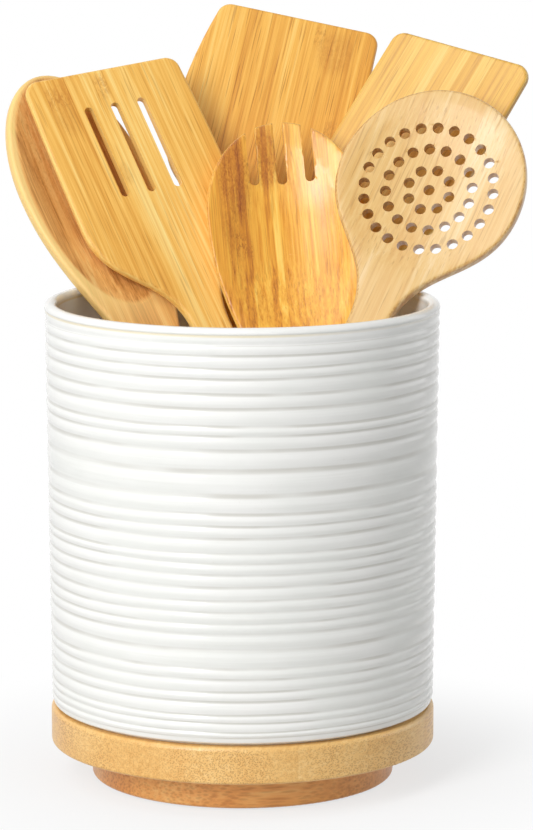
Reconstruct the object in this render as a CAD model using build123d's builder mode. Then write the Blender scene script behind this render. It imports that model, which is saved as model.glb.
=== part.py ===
from build123d import *
import math
import os

# Utensil crock: a ribbed glazed jar on a bamboo turntable, with six bamboo utensils standing in it.
# The origin is at the centre of the ring that the crock rests on, +Z is up, +X is the viewer's right.

# Crock
mouth_outer_radius = 80.0
base_outer_radius = 78.2
crock_height = 166.3
lip_thickness = 4.9
lip_band_height = 6.8
wall_thickness = 4.8
floor_thickness = 8.0
floor_cove_radius = 8.0
foot_ring_outer_radius = 76.5
foot_ring_inner_radius = 72.5
foot_ring_rise = 3.7
foot_ring_depth = 2.5
ridge_swell = 0.55
ridge_height_shares = (
    5, 7, 6, 11, 8, 10, 8, 15, 13, 8, 9, 9, 11, 10, 9,
    7, 13, 9, 9, 15, 20, 16, 11, 7, 15, 10, 13, 8, 10, 8,
)

# Turntable, its foot and the non-slip ring under the foot
turntable_radius = 78.5
turntable_thickness = 15.0
turntable_top_round = 1.8
turntable_low_round = 1.2
locating_boss_height = 1.8
locating_boss_chamfer = 0.6
locating_clearance = 1.1
turntable_gap = 2.2
foot_radius = 61.8
foot_thickness = 12.0
foot_round = 1.4
foot_bore_radius = 34.5
grip_ring_outer_radius = 58.0
grip_ring_inner_radius = 44.0
grip_ring_thickness = 2.0
grip_ring_proud = 0.8
grip_ring_round = 0.4
seat_gap = 0.3

# Turntable bearing
race_radius = 42.5
race_clearance = 0.04
race_chamfer = 0.4
ball_radius = 1.5
ball_count = 24
cage_thickness = 0.5
cage_height = 4.2
cage_clearance = 0.15
outer_race_outer_radius = 54.0
outer_race_height = 5.6
outer_race_recess = 4.0
inner_race_inner_radius = 24.0
inner_race_height = 6.4
inner_race_recess = 1.0

# Countersunk wood screws that hold the two bearing rings
screw_count = 4
screw_head_radius = 3.4
screw_shank_radius = 1.6
screw_sink_angle = 82
screw_clearance = 0.05
drive_width = 0.8
drive_reach = 1.9
drive_depth = 0.9
outer_screw_length = 10.0
inner_screw_length = 12.0

# What all utensils share
grip_half_width = 8.0
handle_thickness = 7.0
handle_corner_radius = 4.5
edge_round = 1.5
floor_clearance = 0.3
cutting_reach_share = 1.2

# Where each handle's axis meets the crock's floor (x, y) and its rim (x, y), as shares of the mouth's
# radius, and how far in degrees the front is turned about the handle
slotted_turner_stand_shares = (0.738, -0.422, -0.252, 0.472)
slotted_turner_roll = -29.6
wide_turner_stand_shares = (-0.569, -0.401, -0.023, 0.794)
wide_turner_roll = 22.2
turner_stand_shares = (-0.85, 0.14, 0.456, 0.700)
turner_roll = 41.1
spork_stand_shares = (0.482, -0.678, 0.282, 0.371)
spork_roll = -9.2
skimmer_stand_shares = (-0.292, -0.755, 0.739, 0.182)
skimmer_roll = 31.2
spoon_stand_shares = (0.412, -0.545, -0.596, 0.477)
spoon_roll = -15.5

# Turners: heights are measured back from the tip
blade_tip_thickness = 4.0
blade_height = 64.0
blade_neck = 120.0
blade_corner_radius = 6.0
slotted_turner_length = 286.0
slotted_turner_tip_half_width = 33.5
slotted_turner_shoulder_half_width = 35.0
slotted_turner_slant = 7.5
slot_count = 3
slot_pitch = 11.5
slot_width = 3.6
slot_length = 42.0
slot_middle = 37.0
turner_length = 301.0
turner_tip_half_width = 31.5
turner_shoulder_half_width = 32.0
turner_slant = -10.0
wide_turner_length = 306.5
wide_turner_tip_half_width = 34.5
wide_turner_right_half_width = 35.0
wide_turner_left_half_width = 44.0

# Spork
spork_length = 251.5
spork_half_width = 33.0
spork_widest = 42.0
spork_neck = 160.0
spork_hollow_width = 50.0
spork_hollow_length = 96.0
spork_hollow_depth = 3.6
spork_hollow_middle = 58.0
tine_count = 4
tine_pitch = 11.7
tine_gap_width = 4.2
tine_length = 27.4

# Skimmer
skimmer_length = 279.5
skimmer_tip_thickness = 5.0
skimmer_half_width = 39.5
skimmer_widest = 42.0
skimmer_neck = 108.0
skimmer_hollow_width = 68.0
skimmer_hollow_length = 76.0
skimmer_hollow_depth = 1.6
skimmer_middle = 44.0
drain_hole_radius = 2.3
drain_ring_pitch = 9.0
drain_ring_count = 3
drain_holes_per_ring = 8

# Spoon
spoon_length = 290.0
spoon_half_width = 30.0
spoon_widest = 52.0
spoon_neck = 158.0
spoon_hollow_width = 52.0
spoon_hollow_length = 108.0
spoon_hollow_depth = 4.8
spoon_hollow_middle = 56.0
bowl_back_round = 3.8

# Heights of the stack above the surface that the ring rests on
foot_base = grip_ring_proud
foot_top = foot_base + foot_thickness
turntable_base = foot_top + turntable_gap
turntable_top = turntable_base + turntable_thickness
outer_race_base = foot_top - outer_race_recess
outer_race_top = outer_race_base + outer_race_height
inner_race_top = turntable_base + inner_race_recess
inner_race_base = inner_race_top - inner_race_height
race_level = (outer_race_top + inner_race_base) / 2
floor_level = turntable_top + floor_thickness
ridges_base = turntable_top + foot_ring_rise
rim_level = turntable_top + crock_height
ridges_top = rim_level - lip_band_height

# Radii that follow from those of the neighbours
lip_radius = lip_thickness / 2
mouth_radius = mouth_outer_radius - lip_thickness
floor_radius = base_outer_radius - wall_thickness
cage_inner_radius = race_radius - cage_thickness / 2
cage_outer_radius = race_radius + cage_thickness / 2
inner_race_outer_radius = cage_inner_radius - cage_clearance
outer_race_inner_radius = cage_outer_radius + cage_clearance
race_groove_radius = ball_radius + race_clearance
outer_screw_circle_radius = (race_radius + race_groove_radius + outer_race_outer_radius) / 2
inner_screw_circle_radius = (inner_race_inner_radius + foot_bore_radius) / 2

os.makedirs("parts", exist_ok=True)


# Crock: a turned wall of horizontal ridges below a smooth rounded lip
def wall_radius(height):
    """Outer radius of the crock's wall at a height above the base of its ridges."""
    share = height / (rim_level - ridges_base)
    return base_outer_radius + (mouth_outer_radius - base_outer_radius) * share


with BuildPart() as crock:
    with BuildSketch(Plane.XZ):
        with BuildLine():
            underside = Polyline(
                (0, turntable_top + foot_ring_depth),
                (foot_ring_inner_radius, turntable_top + foot_ring_depth),
                (foot_ring_inner_radius, turntable_top),
                (foot_ring_outer_radius, turntable_top),
            )
            groove = (wall_radius(0) - ridge_swell, ridges_base)
            TangentArc(groove, underside @ 1, tangent=(0, -1))
            ridge_unit = (ridges_top - ridges_base) / sum(ridge_height_shares)
            height = 0
            for height_share in ridge_height_shares:
                middle = height + ridge_unit * height_share / 2
                height += ridge_unit * height_share
                next_groove = (wall_radius(height) - ridge_swell, ridges_base + height)
                crest = (wall_radius(middle), ridges_base + middle)
                ThreePointArc(groove, crest, next_groove)
                groove = next_groove
            lip_side = (mouth_outer_radius, rim_level - lip_radius)
            TangentArc(lip_side, groove, tangent=(0, -1))
            lip = ThreePointArc(
                lip_side,
                (mouth_outer_radius - lip_radius, rim_level),
                (mouth_radius, rim_level - lip_radius),
            )
            inside = Line(lip @ 1, (floor_radius, floor_level + floor_cove_radius))
            cove_end = (floor_radius - floor_cove_radius, floor_level)
            cove = TangentArc(inside @ 1, cove_end, tangent=inside % 1)
            Polyline(cove @ 1, (0, floor_level), underside @ 0)
        make_face()
    revolve(axis=Axis.Z)

crock.part.label = "crock"
export_step(crock.part, "parts/crock.step")


# Screws: each hangs head up below the plane of its head
outer_screw_face = Plane.XY.offset(outer_race_top)
inner_screw_face = Plane(origin=(0, 0, inner_race_base), z_dir=(0, 0, -1))


def screw(length):
    """One countersunk screw with a cross recess, its head's face at the origin."""
    sink_depth = (screw_head_radius - screw_shank_radius) / math.tan(math.radians(screw_sink_angle / 2))
    with BuildPart() as one:
        with BuildSketch(Plane.XZ):
            with BuildLine():
                Polyline(
                    (0, 0),
                    (screw_head_radius, 0),
                    (screw_shank_radius, -sink_depth),
                    (screw_shank_radius, screw_shank_radius - length),
                    (0, -length),
                    close=True,
                )
            make_face()
        revolve(axis=Axis.Z)
        Box(drive_reach * 2, drive_width, drive_depth * 2, mode=Mode.SUBTRACT)
        Box(drive_width, drive_reach * 2, drive_depth * 2, mode=Mode.SUBTRACT)
    return one.part


def screw_holes(face, circle_radius, length):
    """Cut the countersunk holes of a ring of screws."""
    with Locations(face):
        with PolarLocations(circle_radius, screw_count):
            CounterSinkHole(
                screw_shank_radius + screw_clearance,
                screw_head_radius + screw_clearance,
                length + screw_clearance,
                screw_sink_angle,
            )


with BuildPart(outer_screw_face) as outer_ring_screws:
    with PolarLocations(outer_screw_circle_radius, screw_count):
        add(screw(outer_screw_length))

outer_ring_screws.part.label = "outer_ring_screws"
export_step(outer_ring_screws.part, "parts/outer_ring_screws.step")

with BuildPart(inner_screw_face) as inner_ring_screws:
    with PolarLocations(inner_screw_circle_radius, screw_count):
        add(screw(inner_screw_length))

inner_ring_screws.part.label = "inner_ring_screws"
export_step(inner_ring_screws.part, "parts/inner_ring_screws.step")


# Turntable: a bamboo disc whose boss centres the crock
with BuildPart() as turntable:
    with BuildSketch(Plane.XY.offset(turntable_base)):
        Circle(turntable_radius)
    extrude(amount=turntable_thickness)
    fillet(turntable.edges().group_by(Axis.Z)[-1], turntable_top_round)
    fillet(turntable.edges().group_by(Axis.Z)[0], turntable_low_round)
    with BuildSketch(Plane.XY.offset(turntable_top)):
        Circle(foot_ring_inner_radius - locating_clearance)
    extrude(amount=locating_boss_height)
    chamfer(turntable.edges().group_by(Axis.Z)[-1], locating_boss_chamfer)
    with BuildSketch(Plane.XY.offset(turntable_base)):
        Circle(inner_race_outer_radius + seat_gap)
        Circle(inner_race_inner_radius - seat_gap, mode=Mode.SUBTRACT)
    extrude(amount=inner_race_recess, mode=Mode.SUBTRACT)
    screw_holes(inner_screw_face, inner_screw_circle_radius, inner_screw_length)

turntable.part.label = "turntable"
export_step(turntable.part, "parts/turntable.step")


# Foot: a smaller bamboo disc, with a recess above for the bearing and one below for the non-slip ring
with BuildPart() as foot:
    with BuildSketch(Plane.XY.offset(foot_base)):
        Circle(foot_radius)
        Circle(foot_bore_radius, mode=Mode.SUBTRACT)
    extrude(amount=foot_thickness)
    rims = foot.edges().filter_by(GeomType.CIRCLE).group_by(SortBy.RADIUS)[-1]
    fillet(rims, foot_round)
    with BuildSketch(Plane.XY.offset(foot_top)):
        Circle(outer_race_outer_radius + seat_gap)
    extrude(amount=-outer_race_recess, mode=Mode.SUBTRACT)
    with BuildSketch(Plane.XY.offset(foot_base)):
        Circle(grip_ring_outer_radius + seat_gap)
        Circle(grip_ring_inner_radius - seat_gap, mode=Mode.SUBTRACT)
    extrude(amount=grip_ring_thickness - grip_ring_proud, mode=Mode.SUBTRACT)
    screw_holes(outer_screw_face, outer_screw_circle_radius, outer_screw_length)

foot.part.label = "foot"
export_step(foot.part, "parts/foot.step")

with BuildPart() as non_slip_ring:
    with BuildSketch():
        Circle(grip_ring_outer_radius)
        Circle(grip_ring_inner_radius, mode=Mode.SUBTRACT)
    extrude(amount=grip_ring_thickness)
    fillet(non_slip_ring.edges().group_by(Axis.Z)[0], grip_ring_round)

non_slip_ring.part.label = "non_slip_ring"
export_step(non_slip_ring.part, "parts/non_slip_ring.step")


# Bearing: two screwed rings with a ball race between them
def bearing_ring(inner_radius, outer_radius, base, height):
    """Flat ring with the ball groove turned in it."""
    with BuildPart() as ring:
        with BuildSketch(Plane.XY.offset(base)):
            Circle(outer_radius)
            Circle(inner_radius, mode=Mode.SUBTRACT)
        extrude(amount=height)
        chamfer(ring.edges(), race_chamfer)
        with BuildSketch(Plane.XZ):
            with Locations((race_radius, race_level)):
                Circle(race_groove_radius)
        revolve(axis=Axis.Z, mode=Mode.SUBTRACT)
    return ring.part


with BuildPart() as bearing_outer_ring:
    add(bearing_ring(outer_race_inner_radius, outer_race_outer_radius, outer_race_base, outer_race_height))
    screw_holes(outer_screw_face, outer_screw_circle_radius, outer_screw_length)

bearing_outer_ring.part.label = "bearing_outer_ring"
export_step(bearing_outer_ring.part, "parts/bearing_outer_ring.step")

with BuildPart() as bearing_inner_ring:
    add(bearing_ring(inner_race_inner_radius, inner_race_outer_radius, inner_race_base, inner_race_height))
    screw_holes(inner_screw_face, inner_screw_circle_radius, inner_screw_length)

bearing_inner_ring.part.label = "bearing_inner_ring"
export_step(bearing_inner_ring.part, "parts/bearing_inner_ring.step")

with BuildPart(Plane.XY.offset(race_level)) as bearing_balls:
    with PolarLocations(race_radius, ball_count):
        Sphere(ball_radius)

bearing_balls.part.label = "bearing_balls"
export_step(bearing_balls.part, "parts/bearing_balls.step")

with BuildPart(Plane.XY.offset(race_level)) as bearing_cage:
    with BuildSketch(Plane.XY.offset(race_level)):
        Circle(cage_outer_radius)
        Circle(cage_inner_radius, mode=Mode.SUBTRACT)
    extrude(amount=cage_height / 2, both=True)
    with PolarLocations(race_radius, ball_count):
        Cylinder(race_groove_radius, race_groove_radius * 2, rotation=(0, 90, 0), mode=Mode.SUBTRACT)

bearing_cage.part.label = "bearing_cage"
export_step(bearing_cage.part, "parts/bearing_cage.step")


# Utensils: each is drawn on the plane of its flat front, from the end of its handle
def standing(stand_shares, roll, back_round=edge_round):
    """Plane of a utensil's front, for a handle that stands on the crock's floor and leans on its rim."""
    floor_x, floor_y, rim_x, rim_y = (share * mouth_radius for share in stand_shares)
    on_floor = Vector(floor_x, floor_y, floor_level + floor_clearance)
    along = (Vector(rim_x, rim_y, rim_level) - on_floor).normalized()
    level = Vector(along.Y, -along.X, 0).normalized()
    across = level.rotate(Axis((0, 0, 0), along), roll)
    facing = across.cross(along)
    corner_reach = handle_corner_radius * (math.hypot(along.Z, across.Z) - along.Z)
    low_corner = (grip_half_width - handle_corner_radius) * abs(across.Z) + corner_reach
    rounded_off = back_round * (along.Z + facing.Z - math.hypot(along.Z, facing.Z))
    lift = (low_corner + handle_thickness * facing.Z - rounded_off) / along.Z
    return Plane(origin=on_floor + along * lift, x_dir=across, z_dir=facing)


def round_handle_end(outline):
    """Round the two corners at the end of a handle."""
    fillet(outline.vertices().group_by(Axis.Y)[0], handle_corner_radius)


def oval_outline(place, length, half_width, widest, neck):
    """Front outline of a utensil whose head ends in half an ellipse."""
    with BuildSketch(place) as outline:
        with BuildLine():
            Line((-grip_half_width, 0), (grip_half_width, 0))
            for side in (-1, 1):
                grip = Line((side * grip_half_width, 0), (side * grip_half_width, length - neck))
                Spline(
                    grip @ 1,
                    (side * (grip_half_width + half_width) / 2, length - (neck + widest) / 2),
                    (side * half_width, length - widest),
                    tangents=[(0, 1), (0, 1)],
                )
            EllipticalCenterArc((0, length - widest), half_width, widest, 0, arc_size=180)
        make_face()
        round_handle_end(outline)
    return outline.sketch


def blade_outline(place, length, right, left, slant):
    """Front outline of a turner; right and left each hold a half width at the tip and the shoulder."""
    rise = math.tan(math.radians(slant))
    with BuildSketch(place) as outline:
        with BuildLine():
            Line((-grip_half_width, 0), (grip_half_width, 0))
            tips = []
            for side, (at_tip, at_shoulder) in ((1, right), (-1, left)):
                grip = Line((side * grip_half_width, 0), (side * grip_half_width, length - blade_neck))
                flare = Spline(
                    grip @ 1,
                    (side * (grip_half_width + at_shoulder) / 2, length - (blade_neck + blade_height) / 2),
                    (side * at_shoulder, length - blade_height),
                    tangents=[(0, 1), (0, 1)],
                )
                tip = (side * at_tip, length - side * at_tip * rise)
                TangentArc(flare @ 1, tip, tangent=(0, 1))
                tips.append(tip)
            Line(tips)
        make_face()
        fillet(outline.vertices().sort_by(Axis.Y)[-2:], blade_corner_radius)
        round_handle_end(outline)
    return outline.sketch


def blank(place, outline, length, tip_thickness, back_round=edge_round):
    """Solid behind an outline that thins evenly to the tip, with its front and back edges rounded."""
    reach = length * cutting_reach_share
    thinning = (handle_thickness - tip_thickness) / length
    side = Plane(origin=place.origin, x_dir=place.y_dir, z_dir=place.x_dir)
    depth_axis = Axis(place.origin, place.z_dir)
    with BuildPart() as body:
        extrude(outline, amount=-handle_thickness)
        with BuildSketch(side) as profile:
            with BuildLine():
                Polyline(
                    (0, 0),
                    (reach, 0),
                    (reach, thinning * reach - handle_thickness),
                    (0, -handle_thickness),
                    close=True,
                )
            make_face()
        extrude(amount=reach, both=True, mode=Mode.INTERSECT)
        fillet(body.faces().sort_by(depth_axis)[0].edges(), back_round)
        fillet(body.faces().sort_by(depth_axis)[-1].edges(), edge_round)
    return body.part


def hollow(place, middle, width, length, depth):
    """Spheroid that leaves a hollow of this width, length and depth in a flat front."""
    radius = (width * width / 4 + depth * depth) / (depth * 2)
    with BuildPart() as ball:
        Sphere(radius)
        scale(by=(1, length / width, 1))
    return ball.part.moved(place.location * Location((0, middle, radius - depth)))


slotted_turner_place = standing(slotted_turner_stand_shares, slotted_turner_roll)
slotted_turner_edge = (slotted_turner_tip_half_width, slotted_turner_shoulder_half_width)
slotted_turner_outline = blade_outline(
    slotted_turner_place,
    slotted_turner_length,
    slotted_turner_edge,
    slotted_turner_edge,
    slotted_turner_slant,
)

with BuildPart() as slotted_turner:
    add(blank(slotted_turner_place, slotted_turner_outline, slotted_turner_length, blade_tip_thickness))
    with BuildSketch(slotted_turner_place):
        for number in range(slot_count):
            across = (number - (slot_count - 1) / 2) * slot_pitch
            back = slot_middle + across * math.tan(math.radians(slotted_turner_slant))
            with Locations((across, slotted_turner_length - back)):
                SlotOverall(slot_length, slot_width, rotation=90)
    extrude(amount=-handle_thickness, mode=Mode.SUBTRACT)

slotted_turner.part.label = "slotted_turner"
export_step(slotted_turner.part, "parts/slotted_turner.step")

turner_place = standing(turner_stand_shares, turner_roll)
turner_edge = (turner_tip_half_width, turner_shoulder_half_width)
turner_outline = blade_outline(turner_place, turner_length, turner_edge, turner_edge, turner_slant)

with BuildPart() as turner:
    add(blank(turner_place, turner_outline, turner_length, blade_tip_thickness))

turner.part.label = "turner"
export_step(turner.part, "parts/turner.step")

wide_turner_place = standing(wide_turner_stand_shares, wide_turner_roll)
wide_turner_outline = blade_outline(
    wide_turner_place,
    wide_turner_length,
    (wide_turner_tip_half_width, wide_turner_right_half_width),
    (wide_turner_tip_half_width, wide_turner_left_half_width),
    0,
)

with BuildPart() as wide_turner:
    add(blank(wide_turner_place, wide_turner_outline, wide_turner_length, blade_tip_thickness))

wide_turner.part.label = "wide_turner"
export_step(wide_turner.part, "parts/wide_turner.step")

spork_place = standing(spork_stand_shares, spork_roll, bowl_back_round)
spork_outline = oval_outline(spork_place, spork_length, spork_half_width, spork_widest, spork_neck)
spork_middle = spork_length - spork_hollow_middle

with BuildPart() as spork:
    add(blank(spork_place, spork_outline, spork_length, handle_thickness, bowl_back_round))
    add(
        hollow(spork_place, spork_middle, spork_hollow_width, spork_hollow_length, spork_hollow_depth),
        mode=Mode.SUBTRACT,
    )
    with BuildSketch(spork_place):
        with Locations((0, spork_length)):
            with GridLocations(tine_pitch, 0, tine_count - 1, 1):
                SlotOverall(tine_length * 2, tine_gap_width, rotation=90)
    extrude(amount=-handle_thickness, mode=Mode.SUBTRACT)

spork.part.label = "spork"
export_step(spork.part, "parts/spork.step")

skimmer_place = standing(skimmer_stand_shares, skimmer_roll)
skimmer_outline = oval_outline(
    skimmer_place, skimmer_length, skimmer_half_width, skimmer_widest, skimmer_neck
)
dish_middle = skimmer_length - skimmer_middle

with BuildPart() as skimmer:
    add(blank(skimmer_place, skimmer_outline, skimmer_length, skimmer_tip_thickness))
    add(
        hollow(skimmer_place, dish_middle, skimmer_hollow_width, skimmer_hollow_length, skimmer_hollow_depth),
        mode=Mode.SUBTRACT,
    )
    with BuildSketch(skimmer_place):
        with Locations((0, dish_middle)):
            Circle(drain_hole_radius)
            for ring in range(1, drain_ring_count + 1):
                with PolarLocations(ring * drain_ring_pitch, ring * drain_holes_per_ring):
                    Circle(drain_hole_radius)
    extrude(amount=-handle_thickness, mode=Mode.SUBTRACT)

skimmer.part.label = "skimmer"
export_step(skimmer.part, "parts/skimmer.step")

spoon_place = standing(spoon_stand_shares, spoon_roll, bowl_back_round)
spoon_outline = oval_outline(spoon_place, spoon_length, spoon_half_width, spoon_widest, spoon_neck)
spoon_middle = spoon_length - spoon_hollow_middle

with BuildPart() as spoon:
    add(blank(spoon_place, spoon_outline, spoon_length, handle_thickness, bowl_back_round))
    add(
        hollow(spoon_place, spoon_middle, spoon_hollow_width, spoon_hollow_length, spoon_hollow_depth),
        mode=Mode.SUBTRACT,
    )

spoon.part.label = "spoon"
export_step(spoon.part, "parts/spoon.step")
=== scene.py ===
import math
import random

import bmesh
import bpy
from mathutils import Matrix, Vector


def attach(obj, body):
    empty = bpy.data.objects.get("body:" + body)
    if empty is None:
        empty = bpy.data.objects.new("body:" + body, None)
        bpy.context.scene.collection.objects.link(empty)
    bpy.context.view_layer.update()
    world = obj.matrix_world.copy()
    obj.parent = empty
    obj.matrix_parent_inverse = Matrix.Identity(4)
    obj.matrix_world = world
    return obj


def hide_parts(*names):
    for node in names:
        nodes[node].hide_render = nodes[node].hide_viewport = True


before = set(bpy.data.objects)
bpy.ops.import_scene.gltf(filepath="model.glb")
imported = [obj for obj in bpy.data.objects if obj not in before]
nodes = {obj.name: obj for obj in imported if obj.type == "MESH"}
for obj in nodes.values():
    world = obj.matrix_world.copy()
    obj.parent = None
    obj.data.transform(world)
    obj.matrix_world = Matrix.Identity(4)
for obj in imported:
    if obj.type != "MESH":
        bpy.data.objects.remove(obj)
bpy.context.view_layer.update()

MM = 0.001
WHITE = (1.0, 1.0, 1.0, 1.0)


# Shader building
def material(name):
    """New node material: the material, its tree and its Principled shader."""
    made = bpy.data.materials.new(name)
    made.use_nodes = True
    return made, made.node_tree, made.node_tree.nodes["Principled BSDF"]


def feed(tree, socket, value):
    """Set a socket to a value, or link an output to it."""
    if isinstance(value, bpy.types.NodeSocket):
        tree.links.new(value, socket)
    else:
        socket.default_value = value


def node(tree, kind, inputs, **settings):
    """Add a shader node; inputs maps a socket's name or number to a value or to an output socket."""
    made = tree.nodes.new("ShaderNode" + kind)
    for name, value in settings.items():
        setattr(made, name, value)
    for key, value in inputs.items():
        feed(tree, made.inputs[key], value)
    return made


def math_node(tree, operation, first, second=0.0):
    """Result of one sum on values."""
    return node(tree, "Math", {0: first, 1: second}, operation=operation).outputs[0]


def plus(tree, first, second):
    """First value and second value added."""
    return math_node(tree, "ADD", first, second)


def minus(tree, first, second):
    """Second value taken from the first."""
    return math_node(tree, "SUBTRACT", first, second)


def times(tree, first, second):
    """First value and second value multiplied."""
    return math_node(tree, "MULTIPLY", first, second)


def larger(tree, first, second):
    """The larger of two values."""
    return math_node(tree, "MAXIMUM", first, second)


def unsigned(tree, value):
    """The value without its sign."""
    return math_node(tree, "ABSOLUTE", value)


def centred(tree, value, weight):
    """A value between 0 and 1, moved to lie about zero, and weighted."""
    return times(tree, minus(tree, value, 0.5), weight)


def spread(tree, value, low, high, to_low=0.0, to_high=1.0):
    """Map low..high to to_low..to_high with soft ends."""
    inputs = {"Value": value, "From Min": low, "From Max": high, "To Min": to_low, "To Max": to_high}
    return node(tree, "MapRange", inputs, interpolation_type="SMOOTHSTEP").outputs["Result"]


def mix(tree, share, first, second, blend="MIX"):
    """Blend of two colours."""
    return node(tree, "Mix", {0: share, 6: first, 7: second}, data_type="RGBA", blend_type=blend).outputs[2]


def tinted(tree, share, colour, tint):
    """The colour, multiplied by the tint as far as the share says."""
    return mix(tree, share, colour, mix(tree, 1.0, colour, tint, "MULTIPLY"))


def ramp(tree, share, stops):
    """Colour ramp through (position, colour) stops."""
    made = node(tree, "ValToRGB", {0: share})
    elements = made.color_ramp.elements
    while len(elements) < len(stops):
        elements.new(0.5)
    for element, (position, colour) in zip(elements, stops):
        element.position = position
        element.color = colour
    return made.outputs[0]


def split(tree, vector):
    """The X, Y and Z outputs of a vector."""
    return node(tree, "SeparateXYZ", {0: vector}).outputs


def length(tree, vector):
    """Length of a vector."""
    return node(tree, "VectorMath", {0: vector}, operation="LENGTH").outputs["Value"]


def stretched(tree, vector, x, y, z):
    """The coordinates, scaled along each axis."""
    return node(tree, "VectorMath", {0: vector, 1: (x, y, z)}, operation="MULTIPLY").outputs[0]


def drawn_out(tree, vector, share):
    """The coordinates with Y scaled by a share, which draws a pattern out along the grain."""
    return stretched(tree, vector, 1.0, share, 1.0)


def noise(tree, vector, scale, detail=3.0, roughness=0.55, distortion=0.0):
    """Noise with this many features a metre."""
    inputs = {
        "Vector": vector,
        "Scale": scale,
        "Detail": detail,
        "Roughness": roughness,
        "Distortion": distortion,
    }
    return node(tree, "TexNoise", inputs).outputs["Fac"]


def dot_distance(tree, vector, scale):
    """Distance to the nearest of scattered dots, this many a metre."""
    return node(tree, "TexVoronoi", {"Vector": vector, "Scale": scale}).outputs["Distance"]


def thin_lamellae(tree, across, strip, randomness):
    """Three random values of each lamella, strip metres wide, and the distance to its border."""
    pattern = {"W": across, "Scale": 1 / strip, "Randomness": randomness}
    cell = node(tree, "TexVoronoi", pattern, voronoi_dimensions="1D")
    border = node(tree, "TexVoronoi", pattern, voronoi_dimensions="1D", feature="DISTANCE_TO_EDGE")
    return node(tree, "SeparateColor", {0: cell.outputs["Color"]}).outputs, border.outputs["Distance"]


def bump(tree, shader, height, strength, distance):
    """Relief of a shader's surface."""
    made = node(tree, "Bump", {"Strength": strength, "Distance": distance, "Height": height})
    tree.links.new(made.outputs[0], shader.inputs["Normal"])


def shade(red, green, blue):
    """Linear colour of an 8-bit screen colour."""
    def linear(level):
        level /= 255
        return level / 12.92 if level <= 0.04045 else ((level + 0.055) / 1.055) ** 2.4
    return (linear(red), linear(green), linear(blue), 1.0)


def palette(*colours):
    """Linear colours of 8-bit screen colours."""
    return tuple(shade(*colour) for colour in colours)


def linked(name, data):
    """New object of some data, in the scene."""
    made = bpy.data.objects.new(name, data)
    bpy.context.scene.collection.objects.link(made)
    return made


# Sizes of the crock, in mm. Its section follows the solid's
TURNTABLE_TOP = 30.0
RIM = TURNTABLE_TOP + 166.3
RIM_RADIUS = 80.0
LIP = 2.45
BAND_HEIGHT = 6.8
UNDER_LIP = RIM - 3.2
WALL_FOOT_RADIUS = 78.2
RIDGES_BASE = TURNTABLE_TOP + 3.7
RIDGES_TOP = RIM - BAND_HEIGHT
FOOT_ROUND = 1.3
FOOT_ROUND_RADIUS = 76.3
UNDERSIDE = TURNTABLE_TOP + 2.5
INSIDE_TOP_RADIUS = RIM_RADIUS - 2 * LIP
INSIDE_FOOT_RADIUS = 73.4
INSIDE_FLOOR = TURNTABLE_TOP + 8.0
COVE = 8.0

# Radii under the crock's wall, each with its height over the turntable
FOOT_RING = (
    (72.5, 2.0), (72.5, 0.4), (72.9, 0.0), (74.0, 0.0), (74.3, 0.3), (74.5, 0.75), (75.0, 1.2),
    (FOOT_ROUND_RADIUS, 1.2),
)
# Parts of the way up the band under the lip, each with its depth under the rim's radius
LIP_BAND = ((0.0, 0.55), (0.12, 0.5), (0.3, 0.26), (0.5, 0.16), (0.7, 0.22), (0.86, 0.38), (0.94, 0.32))
RIDGE_SHARES = (
    5, 7, 6, 11, 8, 10, 8, 15, 13, 8, 9, 9, 11, 10, 9,
    7, 13, 9, 9, 15, 20, 16, 11, 7, 15, 10, 13, 8, 10, 8,
)
SWELL = 0.42
ARCH_FULLNESS = 0.75
RIDGE_STEPS = 12
LIP_STEPS = 12
WALL_STEPS = 24
ROUND_STEPS = 5
CROCK_SEGMENTS = 224
DEPTH_WAVE = 0.09
HEIGHT_WAVE = 0.24
WAVE_TERMS = 8
CROCK_SEED = 11


# Glazed stoneware of the crock
GLAZE_POOL_SCALE = 22.0
GLAZE_GLOSS_SCALE = 60.0
THROWING_RING_SCALE = 520.0
FLECK_SCALE = 620.0
GLAZE_RELIEF = 0.12 * MM


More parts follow.
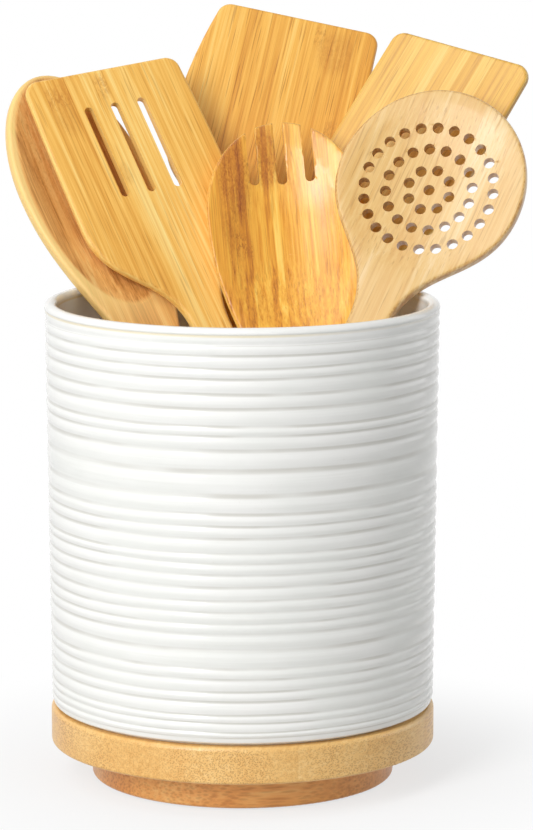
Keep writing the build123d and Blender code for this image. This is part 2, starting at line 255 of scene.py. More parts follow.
def glaze():
    """White glaze, greyer in the grooves from thinner, warmer glaze and from painted shade, with a painted
    warm reflection as a tan band under the lip, and faint flecks.
    """
    made, tree, shader = material("white_glaze")
    place = node(tree, "TexCoord", {}).outputs["Object"]
    axes = split(tree, place)
    groove = node(tree, "Attribute", {}, attribute_name="groove").outputs["Fac"]
    broad = noise(tree, stretched(tree, place, 1.0, 1.0, 1.6), GLAZE_POOL_SCALE, 2.0)
    fine = noise(tree, stretched(tree, place, 1.0, 1.0, 3.0), GLAZE_GLOSS_SCALE, 2.0, 0.5)
    rings = noise(tree, stretched(tree, place, 0.03, 0.03, 1.0), THROWING_RING_SCALE, 2.0, 0.5)
    body = mix(tree, spread(tree, broad, 0.35, 0.65), shade(240, 241, 237), shade(245, 245, 242))
    body = mix(tree, spread(tree, rings, 0.5, 0.8, 0.0, 0.4), body, shade(232, 233, 228))
    # The grooves are tinted grey: partly thinner, warmer glaze and partly painted shade in the grooves
    thin_glaze_and_shade = times(tree, spread(tree, groove, 0.62, 1.0), spread(tree, broad, 0.38, 0.60, 0.25, 1.0))
    toned = mix(tree, times(tree, thin_glaze_and_shade, 0.8), body, shade(209, 207, 199))
    # Painted warm reflection: a tan band under the lip, fading towards the right
    from_reflection = unsigned(tree, minus(tree, axes[2], UNDER_LIP * MM))
    painted_reflection = spread(tree, from_reflection, 0.1 * MM, 0.8 * MM, 1.0, 0.0)
    painted_reflection = times(tree, painted_reflection, spread(tree, axes[0], 0.0, 0.05, 1.0, 0.25))
    toned = mix(tree, painted_reflection, toned, shade(236, 226, 200))
    fleck = spread(tree, noise(tree, place, FLECK_SCALE, 1.0), 0.76, 0.82, 0.0, 0.12)
    feed(tree, shader.inputs["Base Color"], mix(tree, fleck, toned, shade(205, 196, 178)))
    feed(tree, shader.inputs["Roughness"], spread(tree, fine, 0.3, 0.7, 0.14, 0.19))
    shader.inputs["Specular IOR Level"].default_value = 0.4
    bump(tree, shader, plus(tree, times(tree, rings, 1.3), broad), 1.0, GLAZE_RELIEF)
    return made


# Bamboo, with its grain along the Y axis of its piece's own frame
FIBRE_SCALE = 520.0
THREAD_SCALE = 2300.0
DASH_SCALE = 1250.0
MOTTLE_SCALE = 700.0
PIT_SCALE = 1150.0
JOINT_SPACING = 0.24
WANDER = 3 * MM
SWAY = 6 * MM
SEED_SHIFT = Vector((0.031, 0.171, 0.0))
FIBRE_RELIEF = 0.1 * MM
KNOT_AND_SHADE_TINT = (0.62, 0.46, 0.30, 1.0)
DASH_TINT = (0.62, 0.50, 0.38, 1.0)
SEAM_TINT = (0.75, 0.62, 0.48, 1.0)
PIT_TINT = (0.66, 0.46, 0.24, 1.0)
GLOSS_ROUGHNESS = 0.33
GLOSS_FADE = 14
RAMP_WIDTH = 100
RAMP_MIDDLE = 0.5


def oval(tree, local, across, along, half_width, half_height):
    """Distance from a point on a face, 1 on the ellipse of these half sizes in mm."""
    middle = (across * MM, along * MM, 0.0)
    offset = node(tree, "VectorMath", {0: local, 1: middle}, operation="SUBTRACT").outputs[0]
    return length(tree, stretched(tree, offset, 1 / (half_width * MM), 1 / (half_height * MM), 0.0))


def wide_lamellae_and_shading(tree, axes, lamellae_and_painted_shading):
    """Tone of the wide bands across a utensil, with slightly wandering borders: wide strips of the laminate,
    and on the spork also painted shade and painted light across its hollow.
    """
    if not lamellae_and_painted_shading:
        return 0.0
    wander = noise(tree, node(tree, "CombineXYZ", {1: axes[1]}).outputs[0], 22.0, 2.0)
    across = plus(tree, axes[0], times(tree, wander, WANDER))
    share = plus(tree, times(tree, across, 1 / (RAMP_WIDTH * MM)), RAMP_MIDDLE - 0.015)
    stops = []
    left = 0.0
    for edge, tone in lamellae_and_painted_shading:
        right = min(edge / RAMP_WIDTH + RAMP_MIDDLE, 1.0)
        level = (tone + 0.5,) * 3 + (1.0,)
        stops += [(left, level), (right - 0.004, level)]
        left = right
    toned = node(tree, "RGBToBW", {0: ramp(tree, share, stops)}).outputs[0]
    return minus(tree, toned, 0.5)


def knot_and_shade_share(tree, local, knots_and_painted_shade):
    """How far a point lies inside any mottled patch."""
    share = 0.0
    for *ellipse, strength in knots_and_painted_shade:
        share = larger(tree, share, spread(tree, oval(tree, local, *ellipse), 0.5, 1.1, strength, 0.0))
    return share


def rim_share(tree, local, along, rim):
    """How far a point lies in the border outside a rim's ellipse, which takes the side tone with its painted
    light, fading out down the handle.
    """
    outside = spread(tree, oval(tree, local, 0.0, *rim), 1.0, 1.05)
    return times(tree, outside, spread(tree, along, 0.16, 0.20, 0.0, 0.8))


def joint_share(tree, along, cell_tone, mottle):
    """Mottled band that a culm's joint leaves, at its own height in each lamella that has one."""
    phase = plus(tree, math_node(tree, "DIVIDE", along, JOINT_SPACING), cell_tone[1])
    from_joint = unsigned(tree, minus(tree, math_node(tree, "FRACT", phase), 0.5))
    share = spread(tree, from_joint, 0.008, 0.032, 1.0, 0.0)
    share = times(tree, share, spread(tree, mottle, 0.42, 0.62, 0.15, 1.0))
    return times(tree, share, spread(tree, cell_tone[2], 0.45, 0.55))


def bamboo(
    name, place, tones, strip, seed, side_shading_tone,
    lamellae_and_painted_shading=(), contrast=1.0, figure=0.5, dash=0.5, random_tone=0.52, roughness=0.38, carved=0.0,
    gloss=(), knots_and_painted_shade=(), rim=(),
):
    """Laminated bamboo. Tones run from dark to light, strip is the width of a narrow lamella in metres, and
    the wide bands are given as (right edge in mm, tone from -0.5 to 0.5), from left to right: wide strips
    of the laminate, and on the spork also painted shade on the left of its hollow and painted light on the
    right. Knot patches are darker mottled patches, as (across, along, half width, half height, strength)
    in mm: figure of the wood, and on the spork and the spoon also painted shade in the hollow. A rim is
    the ellipse inside its border in the side tone, as (along, half width, half height) in mm, and the
    gloss is (weight, index, where it starts along in mm). Carved is the slope at which cut fibres show in
    full."""
    made, tree, shader = material(name)
    whole = node(tree, "TexCoord", {})
    turned = {
        "Vector": whole.outputs["Object"],
        "Location": place.to_translation(),
        "Rotation": place.to_euler(),
    }
    own = node(tree, "Mapping", turned, vector_type="TEXTURE").outputs[0]
    own_axes = split(tree, own)
    normals = {0: whole.outputs["Normal"], 1: place.col[2].xyz}
    facing = unsigned(tree, node(tree, "VectorMath", normals, operation="DOT_PRODUCT").outputs["Value"])

    # The seed takes each piece from its own stretch of bamboo
    local = node(tree, "VectorMath", {0: own, 1: SEED_SHIFT * seed}, operation="ADD").outputs[0]
    axes = split(tree, local)
    sway = noise(tree, stretched(tree, local, 9.0, 3.0, 9.0), 1.6, 2.0)
    cell_tone, seam = thin_lamellae(tree, plus(tree, axes[0], times(tree, sway, SWAY)), strip, 0.85)
    fibre = noise(tree, drawn_out(tree, local, 0.014), FIBRE_SCALE, 6.0, 0.68, 0.2)
    thread = noise(tree, drawn_out(tree, local, 0.010), THREAD_SCALE, 3.0, 0.6)
    dashes = noise(tree, drawn_out(tree, local, 0.028), DASH_SCALE, 1.0, 0.5)
    broad = noise(tree, drawn_out(tree, local, 0.25), 34.0, 2.0)
    mottle = noise(tree, drawn_out(tree, local, 0.45), MOTTLE_SCALE, 3.0, 0.6, 1.5)
    pits = dot_distance(tree, drawn_out(tree, local, 0.5), PIT_SCALE)

    # Tone of the fibres, of the lamellae and of broad patches
    fibre_tone = plus(tree, centred(tree, thread, 0.55 * contrast), centred(tree, fibre, 1.5 * contrast))
    patch_tone = plus(tree, centred(tree, cell_tone[0], random_tone), centred(tree, broad, 0.45))
    total = plus(tree, plus(tree, fibre_tone, 0.52), patch_tone)
    total = plus(tree, total, wide_lamellae_and_shading(tree, own_axes, lamellae_and_painted_shading))
    colour = ramp(tree, total, tuple(zip((0.02, 0.34, 0.62, 0.95), tones)))

    # Joints and knots; on the spork and the spoon the knot patches are partly painted shade in the hollow
    joint = joint_share(tree, axes[1], cell_tone, mottle)
    colour = mix(tree, times(tree, joint, figure), colour, tones[0])
    knot_and_shade_mask = times(tree, knot_and_shade_share(tree, own, knots_and_painted_shade), spread(tree, mottle, 0.35, 0.60, 0.55, 1.0))
    colour = tinted(tree, knot_and_shade_mask, colour, KNOT_AND_SHADE_TINT)

    # Dark vessel dashes and the glue lines between lamellae
    colour = tinted(tree, spread(tree, dashes, 0.60, 0.70, 0.0, dash), colour, DASH_TINT)
    colour = tinted(tree, spread(tree, seam, 0.0, 0.05, 0.35, 0.0), colour, SEAM_TINT)

    # A carved hollow cuts across the fibres and shows them as a stipple, and so does a knot patch, which on
    # the spork and the spoon is partly painted shade
    slope = minus(tree, 1.0, facing)
    cut = spread(tree, slope, carved * 0.08, carved) if carved else 0.0
    stipple = times(tree, spread(tree, pits, 0.25, 0.55, 0.75, 0.0), larger(tree, cut, knot_and_shade_mask))
    stipple = times(tree, stipple, spread(tree, broad, 0.4, 0.6, 0.3, 1.0))
    colour = tinted(tree, stipple, colour, PIT_TINT)

    # Sanded edges and a rim's border take the side tone: partly their own tone, partly painted light and
    # shade, paler on lit edges and darker on shaded ones
    side_shading_share = spread(tree, facing, 0.5, 0.92, 0.75, 0.0)
    if rim:
        side_shading_share = larger(tree, side_shading_share, rim_share(tree, own, own_axes[1], rim))
    side_shading_colour = mix(tree, spread(tree, fibre, 0.35, 0.65), side_shading_tone, tones[3])
    feed(tree, shader.inputs["Base Color"], mix(tree, side_shading_share, colour, side_shading_colour))

    feed(tree, shader.inputs["Roughness"], spread(tree, fibre, 0.3, 0.7, roughness, roughness + 0.14))
    shader.inputs["Specular IOR Level"].default_value = 0.45
    if gloss:
        weight, index, start = gloss
        polished = spread(tree, own_axes[0], -12 * MM, 14 * MM, weight * 0.1, weight)
        ending = spread(tree, own_axes[1], start * MM, (start + GLOSS_FADE) * MM)
        feed(tree, shader.inputs["Coat Weight"], times(tree, polished, ending))
        shader.inputs["Coat Roughness"].default_value = GLOSS_ROUGHNESS
        shader.inputs["Coat IOR"].default_value = index
    relief = times(tree, plus(tree, fibre, times(tree, dashes, 0.6)), FIBRE_RELIEF)
    bump(tree, shader, relief, 1.0, 1.0)
    return made


# Turned boards of the turntable and the foot
DISC_FIBRE_SCALE = 620.0
DISC_RELIEF = 0.3 * MM
CUT_FIBRE_TINT = (0.62, 0.47, 0.33, 1.0)
DISC_SEAM_TINT = (0.80, 0.68, 0.54, 1.0)


def disc_bamboo(name, tones, strip, dot, turn, roughness, speckled):
    """Bamboo board turned to a disc: long grain on the faces, and cut fibres as dots round the rim."""
    made, tree, shader = material(name)
    whole = node(tree, "TexCoord", {})
    turned = {"Vector": whole.outputs["Object"], "Rotation": (0, 0, math.radians(turn))}
    local = node(tree, "Mapping", turned).outputs[0]
    cell_tone, seam = thin_lamellae(tree, split(tree, local)[0], strip, 0.5)
    fibre = noise(tree, drawn_out(tree, local, 0.03), DISC_FIBRE_SCALE, 5.0, 0.65)
    broad = noise(tree, local, 30.0, 2.0)
    cut = spread(tree, dot_distance(tree, drawn_out(tree, local, 0.10), dot), 0.24, 0.60, 1.0, 0.0)

    total = plus(tree, centred(tree, cell_tone[0], 0.16), centred(tree, fibre, 1.1))
    total = plus(tree, plus(tree, total, centred(tree, broad, 0.7)), 0.55)
    colour = ramp(tree, total, tuple(zip((0.05, 0.35, 0.62, 0.95), tones)))

    # The dots of cut fibres lie in patches, and show in full on the rim only
    level = unsigned(tree, split(tree, whole.outputs["Normal"])[2])
    on_rim = spread(tree, level, 0.35, 0.75, 1.0, 0.0)
    patches = spread(tree, noise(tree, local, 46.0, 2.0), 0.35, 0.6, 0.5, 1.0)
    speckle = times(tree, cut, times(tree, patches, speckled))
    speckle = times(tree, speckle, plus(tree, times(tree, on_rim, 0.8), 0.2))
    colour = tinted(tree, speckle, colour, CUT_FIBRE_TINT)
    colour = tinted(tree, spread(tree, seam, 0.0, 0.02, 0.25, 0.0), colour, DISC_SEAM_TINT)

    feed(tree, shader.inputs["Base Color"], colour)
    feed(tree, shader.inputs["Roughness"], spread(tree, fibre, 0.3, 0.7, roughness - 0.06, roughness + 0.08))
    shader.inputs["Coat Weight"].default_value = 0.2
    shader.inputs["Coat Roughness"].default_value = 0.22
    bump(tree, shader, minus(tree, fibre, times(tree, cut, 0.3)), 0.2, DISC_RELIEF)
    return made


# Bearing, screws and non-slip ring
DULL_SCALE = 90.0
SCUFF_SCALE = 120.0
TOOL_MARK_RELIEF = 0.2 * MM
MOULD_RELIEF = 0.3 * MM


def metal(name, tones, roughness, scale):
    """Turned metal with fine concentric tool marks and dulled patches."""
    made, tree, shader = material(name)
    place = node(tree, "TexCoord", {}).outputs["Object"]
    radius = length(tree, stretched(tree, place, 1.0, 1.0, 0.0))
    section = node(tree, "CombineXYZ", {0: radius, 2: split(tree, place)[2]}).outputs[0]
    marks = noise(tree, section, scale, 3.0)
    dull = noise(tree, place, DULL_SCALE, 3.0)
    feed(tree, shader.inputs["Base Color"], mix(tree, spread(tree, dull, 0.35, 0.7), *tones))
    feed(tree, shader.inputs["Roughness"], spread(tree, dull, 0.3, 0.7, roughness, roughness + 0.16))
    shader.inputs["Metallic"].default_value = 1.0
    bump(tree, shader, marks, 0.15, TOOL_MARK_RELIEF)
    return made


def moulded(name, tones, roughness, scale, strength):
    """Moulded rubber or plastic with a fine stipple and faint scuffs."""
    made, tree, shader = material(name)
    place = node(tree, "TexCoord", {}).outputs["Object"]
    stipple = noise(tree, place, scale, 2.0)
    scuff = noise(tree, place, SCUFF_SCALE, 4.0, 0.65, 0.6)
    feed(tree, shader.inputs["Base Color"], mix(tree, spread(tree, scuff, 0.45, 0.75), *tones))
    feed(tree, shader.inputs["Roughness"], spread(tree, scuff, 0.3, 0.7, roughness - 0.08, roughness + 0.08))
    bump(tree, shader, stipple, strength, MOULD_RELIEF)
    return made


def dress(name, made):
    """Give a CAD node its finish."""
    mesh = nodes[name].data
    mesh.materials.clear()
    mesh.materials.append(made)


# Crock, with the small unevenness of a thrown and glazed wall
def plain(radius, height):
    """Point of the section with no groove and no unevenness."""
    return (radius, height, 0.0, 0.0)


def arc(radius, height, size, start, end, steps):
    """Plain points round a centre, from one angle in degrees to another, both included."""
    points = []
    for step in range(steps + 1):
        turn = math.radians(start + (end - start) * step / steps)
        points.append(plain(radius + size * math.cos(turn), height + size * math.sin(turn)))
    return points


def crock_profile():
    """(radius, height, groove, unevenness) of the crock's section, from the axis below to the axis inside."""
    points = [plain(0.0, UNDERSIDE), plain(40.0, UNDERSIDE), plain(72.0, UNDERSIDE)]
    points += [plain(radius, TURNTABLE_TOP + above) for radius, above in FOOT_RING]
    points += arc(FOOT_ROUND_RADIUS, UNDERSIDE, FOOT_ROUND, -75, 0, ROUND_STEPS)
    unit = (RIDGES_TOP - RIDGES_BASE) / sum(RIDGE_SHARES)
    base = RIDGES_BASE
    for share in RIDGE_SHARES:
        tall = unit * share
        deep = SWELL * min(1.25, 0.55 + tall / 9)
        for step in range(RIDGE_STEPS):
            part = step / RIDGE_STEPS
            height = base + tall * part
            widening = (RIM_RADIUS - WALL_FOOT_RADIUS) * (height - RIDGES_BASE) / (RIM - RIDGES_BASE)
            groove = 1 - (0.5 - 0.5 * math.cos(math.tau * part)) ** ARCH_FULLNESS
            points.append((WALL_FOOT_RADIUS + widening - deep * groove, height, groove, 1.0))
        base += tall
    for part, inward in LIP_BAND:
        points.append((RIM_RADIUS - inward, RIDGES_TOP + (BAND_HEIGHT - LIP) * part, inward, 1 - part))
    points += arc(RIM_RADIUS - LIP, RIM - LIP, LIP, 0, 180, LIP_STEPS)
    lowest = INSIDE_FLOOR + COVE
    for step in range(1, WALL_STEPS + 1):
        part = step / WALL_STEPS
        radius = INSIDE_TOP_RADIUS + (INSIDE_FOOT_RADIUS - INSIDE_TOP_RADIUS) * part
        points.append(plain(radius, RIM - LIP + (lowest - RIM + LIP) * part))
    points += arc(INSIDE_FOOT_RADIUS - COVE, lowest, COVE, -15, -90, ROUND_STEPS)
    points += [plain(48.0, INSIDE_FLOOR), plain(24.0, INSIDE_FLOOR), plain(0.0, INSIDE_FLOOR)]
    return points


def wave(rng, strongest):
    """Smooth uneven offset round the wall, as a function of the angle."""
    terms = []
    for count in range(1, WAVE_TERMS + 1):
        size = rng.uniform(-1, 1) / count ** 0.6
        terms.append((count, size, rng.uniform(0, math.tau)))

    def offset(angle):
        """Offset at an angle round the wall."""
        return strongest * sum(size * math.cos(count * angle + shift) for count, size, shift in terms)

    return offset


def turned_mesh(name, profile, segments, offsets):
    """Mesh of a section turned about Z, with poles where the section meets the axis."""
    vertices = []
    grooves = []
    rings = []
    for row, (radius, height, groove, uneven) in enumerate(profile):
        if radius == 0:
            rings.append([len(vertices)])
            vertices.append((0.0, 0.0, height * MM))
            grooves.append(groove)
            continue
        ring = []
        for step in range(segments):
            angle = math.tau * step / segments
            inward, upward = offsets(row, angle)
            ring.append(len(vertices))
            size = (radius - abs(inward) * uneven) * MM
            vertices.append((size * math.cos(angle), size * math.sin(angle), (height + upward * uneven) * MM))
            grooves.append(groove)
        rings.append(ring)
    faces = []
    for low, high in zip(rings, rings[1:]):
        for step in range(segments):
            after = (step + 1) % segments
            if len(low) == 1:
                faces.append((low[0], high[after], high[step]))
            elif len(high) == 1:
                faces.append((low[step], low[after], high[0]))
            else:
                faces.append((low[step], low[after], high[after], high[step]))
    mesh = bpy.data.meshes.new(name)
    mesh.from_pydata(vertices, [], faces)
    mesh.attributes.new("groove", "FLOAT", "POINT").data.foreach_set("value", grooves)
    mesh.validate()
    mesh.shade_smooth()
    mesh.update()
    return linked(name, mesh)


def build_crock():
    """The crock's piece: each groove wanders in depth and height round the wall."""
    profile = crock_profile()
    rng = random.Random(CROCK_SEED)
    depth_waves = [wave(rng, DEPTH_WAVE) for _ in range(len(RIDGE_SHARES) + 2)]
    height_waves = [wave(rng, HEIGHT_WAVE) for _ in range(len(RIDGE_SHARES) + 2)]
    first = next(row for row, point in enumerate(profile) if point[3] > 0)

    def offsets(row, angle):
        """Inward and upward shift of a row, blended between the waves of the grooves beside it."""
        place = min(max(row - first, 0) / RIDGE_STEPS, len(RIDGE_SHARES))
        below = int(place)
        part = place - below
        inward = depth_waves[below](angle) * (1 - part) + depth_waves[below + 1](angle) * part
        upward = height_waves[below](angle) * (1 - part) + height_waves[below + 1](angle) * part
        return inward, upward

    return turned_mesh("ribbed_crock", profile, CROCK_SEGMENTS, offsets)


crock = build_crock()
crock.data.materials.append(glaze())
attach(crock, "crock")
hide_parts("crock")


# Utensils: each one's grain follows its own handle
def grain_place(end, along, across):
    """Frame of a utensil: X across, Y along the handle, Z out of the front."""
    along = Vector(along).normalized()
    across = (Vector(across) - along * along.dot(Vector(across))).normalized()
    turned = Matrix((across, along, across.cross(along))).transposed().to_4x4()
    return Matrix.Translation(Vector(end) * MM) @ turned


# Each utensil's handle end in mm, the direction of its handle and the direction across its face
PLACES = {
    "slotted_turner": grain_place((53.55, -30.0, 42.29), (-0.3974, 0.3589, 0.8446), (0.892, 0.366, 0.264)),
    "wide_turner": grain_place((-41.73, -27.93, 42.14), (0.2201, 0.4818, 0.8482), (0.975, -0.093, -0.2)),
    "turner": grain_place((-61.2, 11.64, 42.54), (0.5144, 0.2206, 0.8287), (0.798, -0.478, -0.368)),
    "spork": grain_place((36.0, -49.87, 40.4), (-0.0848, 0.4446, 0.8917), (0.996, 0.045, 0.072)),
    "skimmer": grain_place((-19.9, -54.86, 42.44), (0.4086, 0.3713, 0.8338), (0.895, -0.343, -0.286)),
    "spoon": grain_place((29.53, -39.5, 41.24), (-0.3958, 0.4013, 0.826), (0.841, 0.52, 0.151)),
}

# Tones from dark to pale
HONEY = palette((194, 122, 40), (228, 166, 69), (244, 192, 96), (251, 222, 142))
WHEAT = palette((184, 116, 34), (222, 156, 58), (240, 182, 80), (250, 210, 120))
CREAM = palette((192, 137, 50), (223, 171, 77), (234, 190, 96), (241, 208, 128))
# The skimmer's tones are whitened towards their light end, partly a painted sheen
ROSY_WITH_SHEEN = palette((184, 130, 62), (214, 167, 95), (224, 186, 119), (235, 207, 157))
AMBER = palette((176, 102, 28), (227, 155, 50), (247, 188, 74), (252, 220, 118))
DUSKY = palette((174, 114, 54), (220, 158, 86), (243, 184, 106), (251, 214, 140))
PALE = palette((214, 154, 80), (232, 180, 104), (241, 196, 122), (249, 214, 150))
CARAMEL = palette((190, 118, 54), (226, 154, 80), (244, 178, 102), (252, 206, 134))

# Side tones paint each piece's edges: partly the sanded edges' own tone, partly painted light and shade,
# paler on lit edges and darker on shaded ones
BAMBOOS = {
    "slotted_turner": {
        "tones": HONEY,
        "strip": 9.0 * MM,
        "seed": 1,
        "side_shading_tone": shade(250, 206, 112),
        "lamellae_and_painted_shading": ((-9, -0.03), (12, 0.16), (22, 0.02), (50, -0.06)),
        "random_tone": 0.12,
        "knots_and_painted_shade": ((-7.5, 239, 3, 6, 0.3), (-22, 272, 6, 12, 0.25)),
    },
    "wide_turner": {
        "tones": WHEAT,
        "strip": 4.8 * MM,
        "seed": 2,
        "side_shading_tone": shade(220, 160, 84),
        "random_tone": 0.14,
        "dash": 0.8,
        "knots_and_painted_shade": ((17.5, 293, 9, 12, 0.4),),
    },
    "turner": {
        "tones": CREAM,
        "strip": 5.6 * MM,
        "seed": 3,
        "side_shading_tone": shade(176, 122, 72),
        "random_tone": 0.34,
    },
    "spork": {
        "tones": AMBER,
        "strip": 7.0 * MM,
        "seed": 4,
        "side_shading_tone": shade(238, 182, 98),
        # The spork's darker bands on the left and lighter bands on the right are partly painted shade and
        # painted light across its hollow
        "lamellae_and_painted_shading": (
            (-25, -0.14), (-19, -0.22), (-15.5, -0.4), (-8, -0.02), (-5.5, -0.3), (9, -0.02),
            (10.5, -0.12), (20, 0.04), (50, 0.14),
        ),
        "figure": 0.8,
        "random_tone": 0.14,
        "roughness": 0.26,
        "carved": 0.20,
        "gloss": (0.5, 1.75, 208),
        # On the spork's left the knot patches are partly painted shade in the hollow
        "knots_and_painted_shade": ((-20, 228, 8, 24, 0.8), (-6.5, 237, 7, 17, 0.8), (-23, 205, 5, 12, 0.45)),
    },
    "skimmer": {
        "tones": ROSY_WITH_SHEEN,
        "strip": 13.0 * MM,
        "seed": 5,
        "side_shading_tone": shade(186, 128, 76),
        "lamellae_and_painted_shading": ((-14, -0.02), (-3, 0.1), (9, 0.0), (21, 0.16), (50, 0.04)),
        "random_tone": 0.1,
        "contrast": 0.75,
        "roughness": 0.28,
        "carved": 0.09,
        "gloss": (0.28, 1.6, 200),
    },
    "spoon": {
        "tones": DUSKY,
        "strip": 10.0 * MM,
        "seed": 6,
        "side_shading_tone": shade(252, 220, 138),
        "lamellae_and_painted_shading": ((-17, -0.1), (-6, 0.12), (6, -0.16), (16, 0.1), (50, -0.05)),
        # The large knot patch over the spoon's bowl is painted shade in the hollow
        "knots_and_painted_shade": ((-8, 248, 17, 44, 0.38), (-19, 194, 8, 14, 0.12)),
        # The rim's border takes the spoon's light side tone, partly painted light on the bowl's edge
        "rim": (235, 26.2, 52),
        "random_tone": 0.1,
    },
}

# Slightly bowed heads, in mm along each handle from its end
BOWS = {
    "spork": {
        "depth": 5.0, "half_width": 34, "start": 150, "full": 195, "past": 205, "end": 252, "drop": -0.15,
    },
    "skimmer": {
        "depth": 2.4, "half_width": 40.5, "start": 190, "full": 228, "past": 246, "end": 280, "drop": 0.9,
    },
}
CUT_REACH = 42
CUT_ACROSS = 3
CUT_ALONG = 4
WELD = 0.001 * MM
SHARP_ANGLE = 38


def smooth_step(value, low, high):
    """0 below low, 1 above high, and a smooth rise between them."""
    share = min(max((value - low) / (high - low), 0.0), 1.0)
    return share * share * (3 - 2 * share)


def bowed(name, depth, half_width, start, full, past, end, drop):
    """Piece for a CAD utensil whose head is bowed backwards, all sizes in mm. The bow is deepest in the
    middle, from full to past along the handle, and drop is the share of it lost at the end."""
    place = PLACES[name]
    inverse = place.inverted()
    shape = bmesh.new()
    shape.from_mesh(nodes[name].data)
    bmesh.ops.remove_doubles(shape, verts=shape.verts[:], dist=WELD)
    cuts = [(0, across) for across in range(-CUT_REACH, CUT_REACH + 1, CUT_ACROSS)]
    cuts += [(1, along) for along in range(start, end, CUT_ALONG)]
    for axis, offset in cuts:
        normal = place.col[axis].xyz
        bmesh.ops.bisect_plane(
            shape,
            geom=shape.verts[:] + shape.edges[:] + shape.faces[:],
            dist=WELD,
            plane_co=place.to_translation() + normal * offset * MM,
            plane_no=normal,
        )
    for vertex in shape.verts:
        local = inverse @ vertex.co
        along = local.y / MM
        share = smooth_step(along, start, full) * (1 - drop * smooth_step(along, past, end))
        local.z -= depth * MM * share * max(0.0, 1 - (local.x / (half_width * MM)) ** 2)
        vertex.co = place @ local
    mesh = bpy.data.meshes.new(name + "_bowed")
    shape.to_mesh(mesh)
    shape.free()
    mesh.shade_smooth()
    mesh.set_sharp_from_angle(angle=math.radians(SHARP_ANGLE))
    made = linked(name + "_bowed", mesh)
    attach(made, name)
    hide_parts(name)
    return made


for utensil, look in BAMBOOS.items():
    finish = bamboo(utensil + "_bamboo", PLACES[utensil], **look)
    if utensil in BOWS:
        bowed(utensil, **BOWS[utensil]).data.materials.append(finish)
    else:
        dress(utensil, finish)

RING_TONES = palette((176, 178, 182), (150, 152, 156)), palette((180, 182, 186), (152, 154, 158))
SCREW_TONES = palette((170, 170, 168), (140, 140, 138)), palette((172, 171, 168), (142, 141, 138))
BALL_TONES = palette((205, 207, 210), (190, 192, 196))
CAGE_TONES = palette((232, 230, 222), (214, 211, 202))
RUBBER_TONES = palette((46, 45, 44), (66, 64, 62))

dress("turntable", disc_bamboo("turntable_bamboo", PALE, 21 * MM, 1500.0, 12, 0.42, 0.75))
dress("foot", disc_bamboo("foot_bamboo", CARAMEL, 18 * MM, 900.0, 78, 0.4, 0.5))
dress("bearing_outer_ring", metal("outer_ring_metal", RING_TONES[0], 0.28, 4200.0))
dress("bearing_inner_ring", metal("inner_ring_metal", RING_TONES[1], 0.28, 4200.0))
dress("bearing_balls", metal("ball_steel", BALL_TONES, 0.08, 900.0))
dress("outer_ring_screws", metal("outer_screw_steel", SCREW_TONES[0], 0.3, 3000.0))
dress("inner_ring_screws", metal("inner_screw_steel", SCREW_TONES[1], 0.3, 3000.0))
dress("bearing_cage", moulded("cage_plastic", CAGE_TONES, 0.5, 2200.0, 0.1))
dress("non_slip_ring", moulded("grip_rubber", RUBBER_TONES, 0.75, 1800.0, 0.35))


# Floor, lamps and camera
FLOOR_HALF = 6.0
FLOOR_DROP = 0.2 * MM
FLOOR_GREY = 0.74
AMBIENT = 0.29
PHOTO_HEIGHT = 830
FOCAL_PIXELS = 3884
SENSOR_HEIGHT = 24.0
FAR_CLIP = 50.0
CAMERA_PLACE = (0.0, -1.556, 0.415)
CAMERA_TILT = 80.30
CAMERA_TURN = -0.361


def seen_share(tree):
    """1 for what the camera sees, directly, in a reflection or through something clear."""
    path = node(tree, "LightPath", {}).outputs
    seen = larger(tree, path["Is Camera Ray"], path["Is Glossy Ray"])
    return larger(tree, seen, path["Is Transmission Ray"])


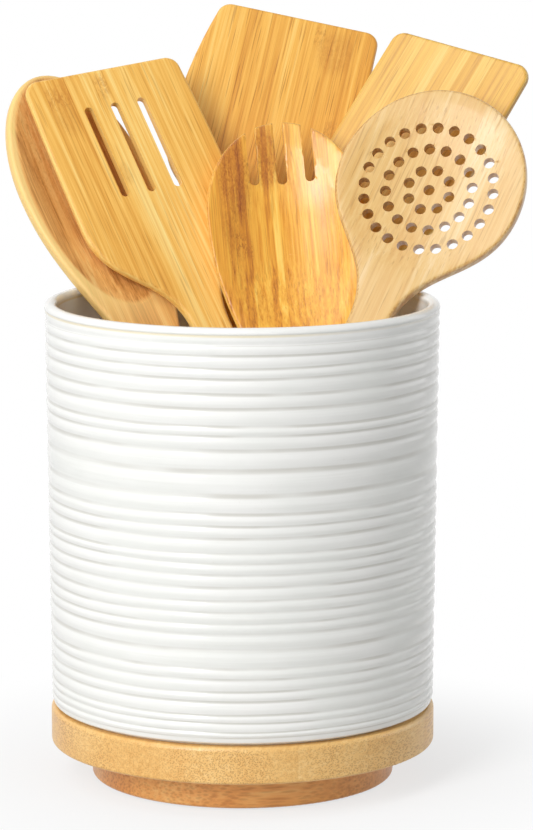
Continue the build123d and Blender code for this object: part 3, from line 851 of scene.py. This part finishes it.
def studio_floor():
    """Pale floor that shows white to the camera and keeps the object's shadow."""
    mesh = bpy.data.meshes.new("floor")
    half = FLOOR_HALF
    corners = [(-half, -half, 0.0), (half, -half, 0.0), (half, half, 0.0), (-half, half, 0.0)]
    mesh.from_pydata(corners, [], [(0, 1, 2, 3)])
    made = linked("floor", mesh)
    made.location.z = -FLOOR_DROP
    surface = bpy.data.materials.new("white_floor")
    surface.use_nodes = True
    tree = surface.node_tree
    tree.nodes.clear()
    lit = node(tree, "BsdfDiffuse", {"Color": (FLOOR_GREY, FLOOR_GREY, FLOOR_GREY, 1.0), "Roughness": 0.6})
    shown = node(tree, "Emission", {"Color": WHITE, "Strength": 1.0})
    away = length(tree, node(tree, "TexCoord", {}).outputs["Object"])
    share = times(tree, seen_share(tree), spread(tree, away, 0.07, 0.2, 0.72, 1.0))
    both = node(tree, "MixShader", {0: share, 1: lit.outputs[0], 2: shown.outputs[0]})
    node(tree, "OutputMaterial", {"Surface": both.outputs[0]})
    mesh.materials.append(surface)


def studio_world():
    """White to the camera and in reflections, and a plain level for the light itself."""
    world = bpy.data.worlds.new("studio")
    world.use_nodes = True
    tree = world.node_tree
    tree.nodes.clear()
    white = node(tree, "Background", {"Color": WHITE, "Strength": 1.0})
    ambient = node(tree, "Background", {"Color": WHITE, "Strength": AMBIENT})
    both = node(tree, "MixShader", {0: seen_share(tree), 1: ambient.outputs[0], 2: white.outputs[0]})
    node(tree, "OutputWorld", {"Surface": both.outputs[0]})
    bpy.context.scene.world = world


def lamp(name, place, target, wide, tall, power):
    """Soft lamp that looks at a point, in metres and watts."""
    data = bpy.data.lights.new(name, "AREA")
    data.shape = "RECTANGLE"
    data.size = wide
    data.size_y = tall
    data.energy = power
    made = linked(name, data)
    made.location = place
    made.rotation_euler = (Vector(target) - Vector(place)).to_track_quat("-Z", "Y").to_euler()


def photo_camera():
    """Camera at the photograph's place; its lens covers the photograph's height."""
    data = bpy.data.cameras.new("camera")
    data.sensor_fit = "VERTICAL"
    data.sensor_height = SENSOR_HEIGHT
    data.lens = SENSOR_HEIGHT * FOCAL_PIXELS / PHOTO_HEIGHT
    data.clip_end = FAR_CLIP
    made = linked("camera", data)
    made.location = CAMERA_PLACE
    made.rotation_euler = (math.radians(CAMERA_TILT), 0.0, math.radians(CAMERA_TURN))
    bpy.context.scene.camera = made


studio_floor()
studio_world()
lamp("key", place=(-1.38, -2.21, 1.42), target=(0.0, 0.0, 0.15), wide=1.0, tall=1.9, power=58.0)
lamp("fill", place=(1.9, 0.9, 0.7), target=(0.0, 0.0, 0.15), wide=1.3, tall=1.3, power=7.0)
lamp("top", place=(-0.9, -0.8, 2.3), target=(0.0, 0.0, 0.2), wide=1.2, tall=1.2, power=15.0)
photo_camera()
bpy.context.scene.view_settings.view_transform = "Standard"
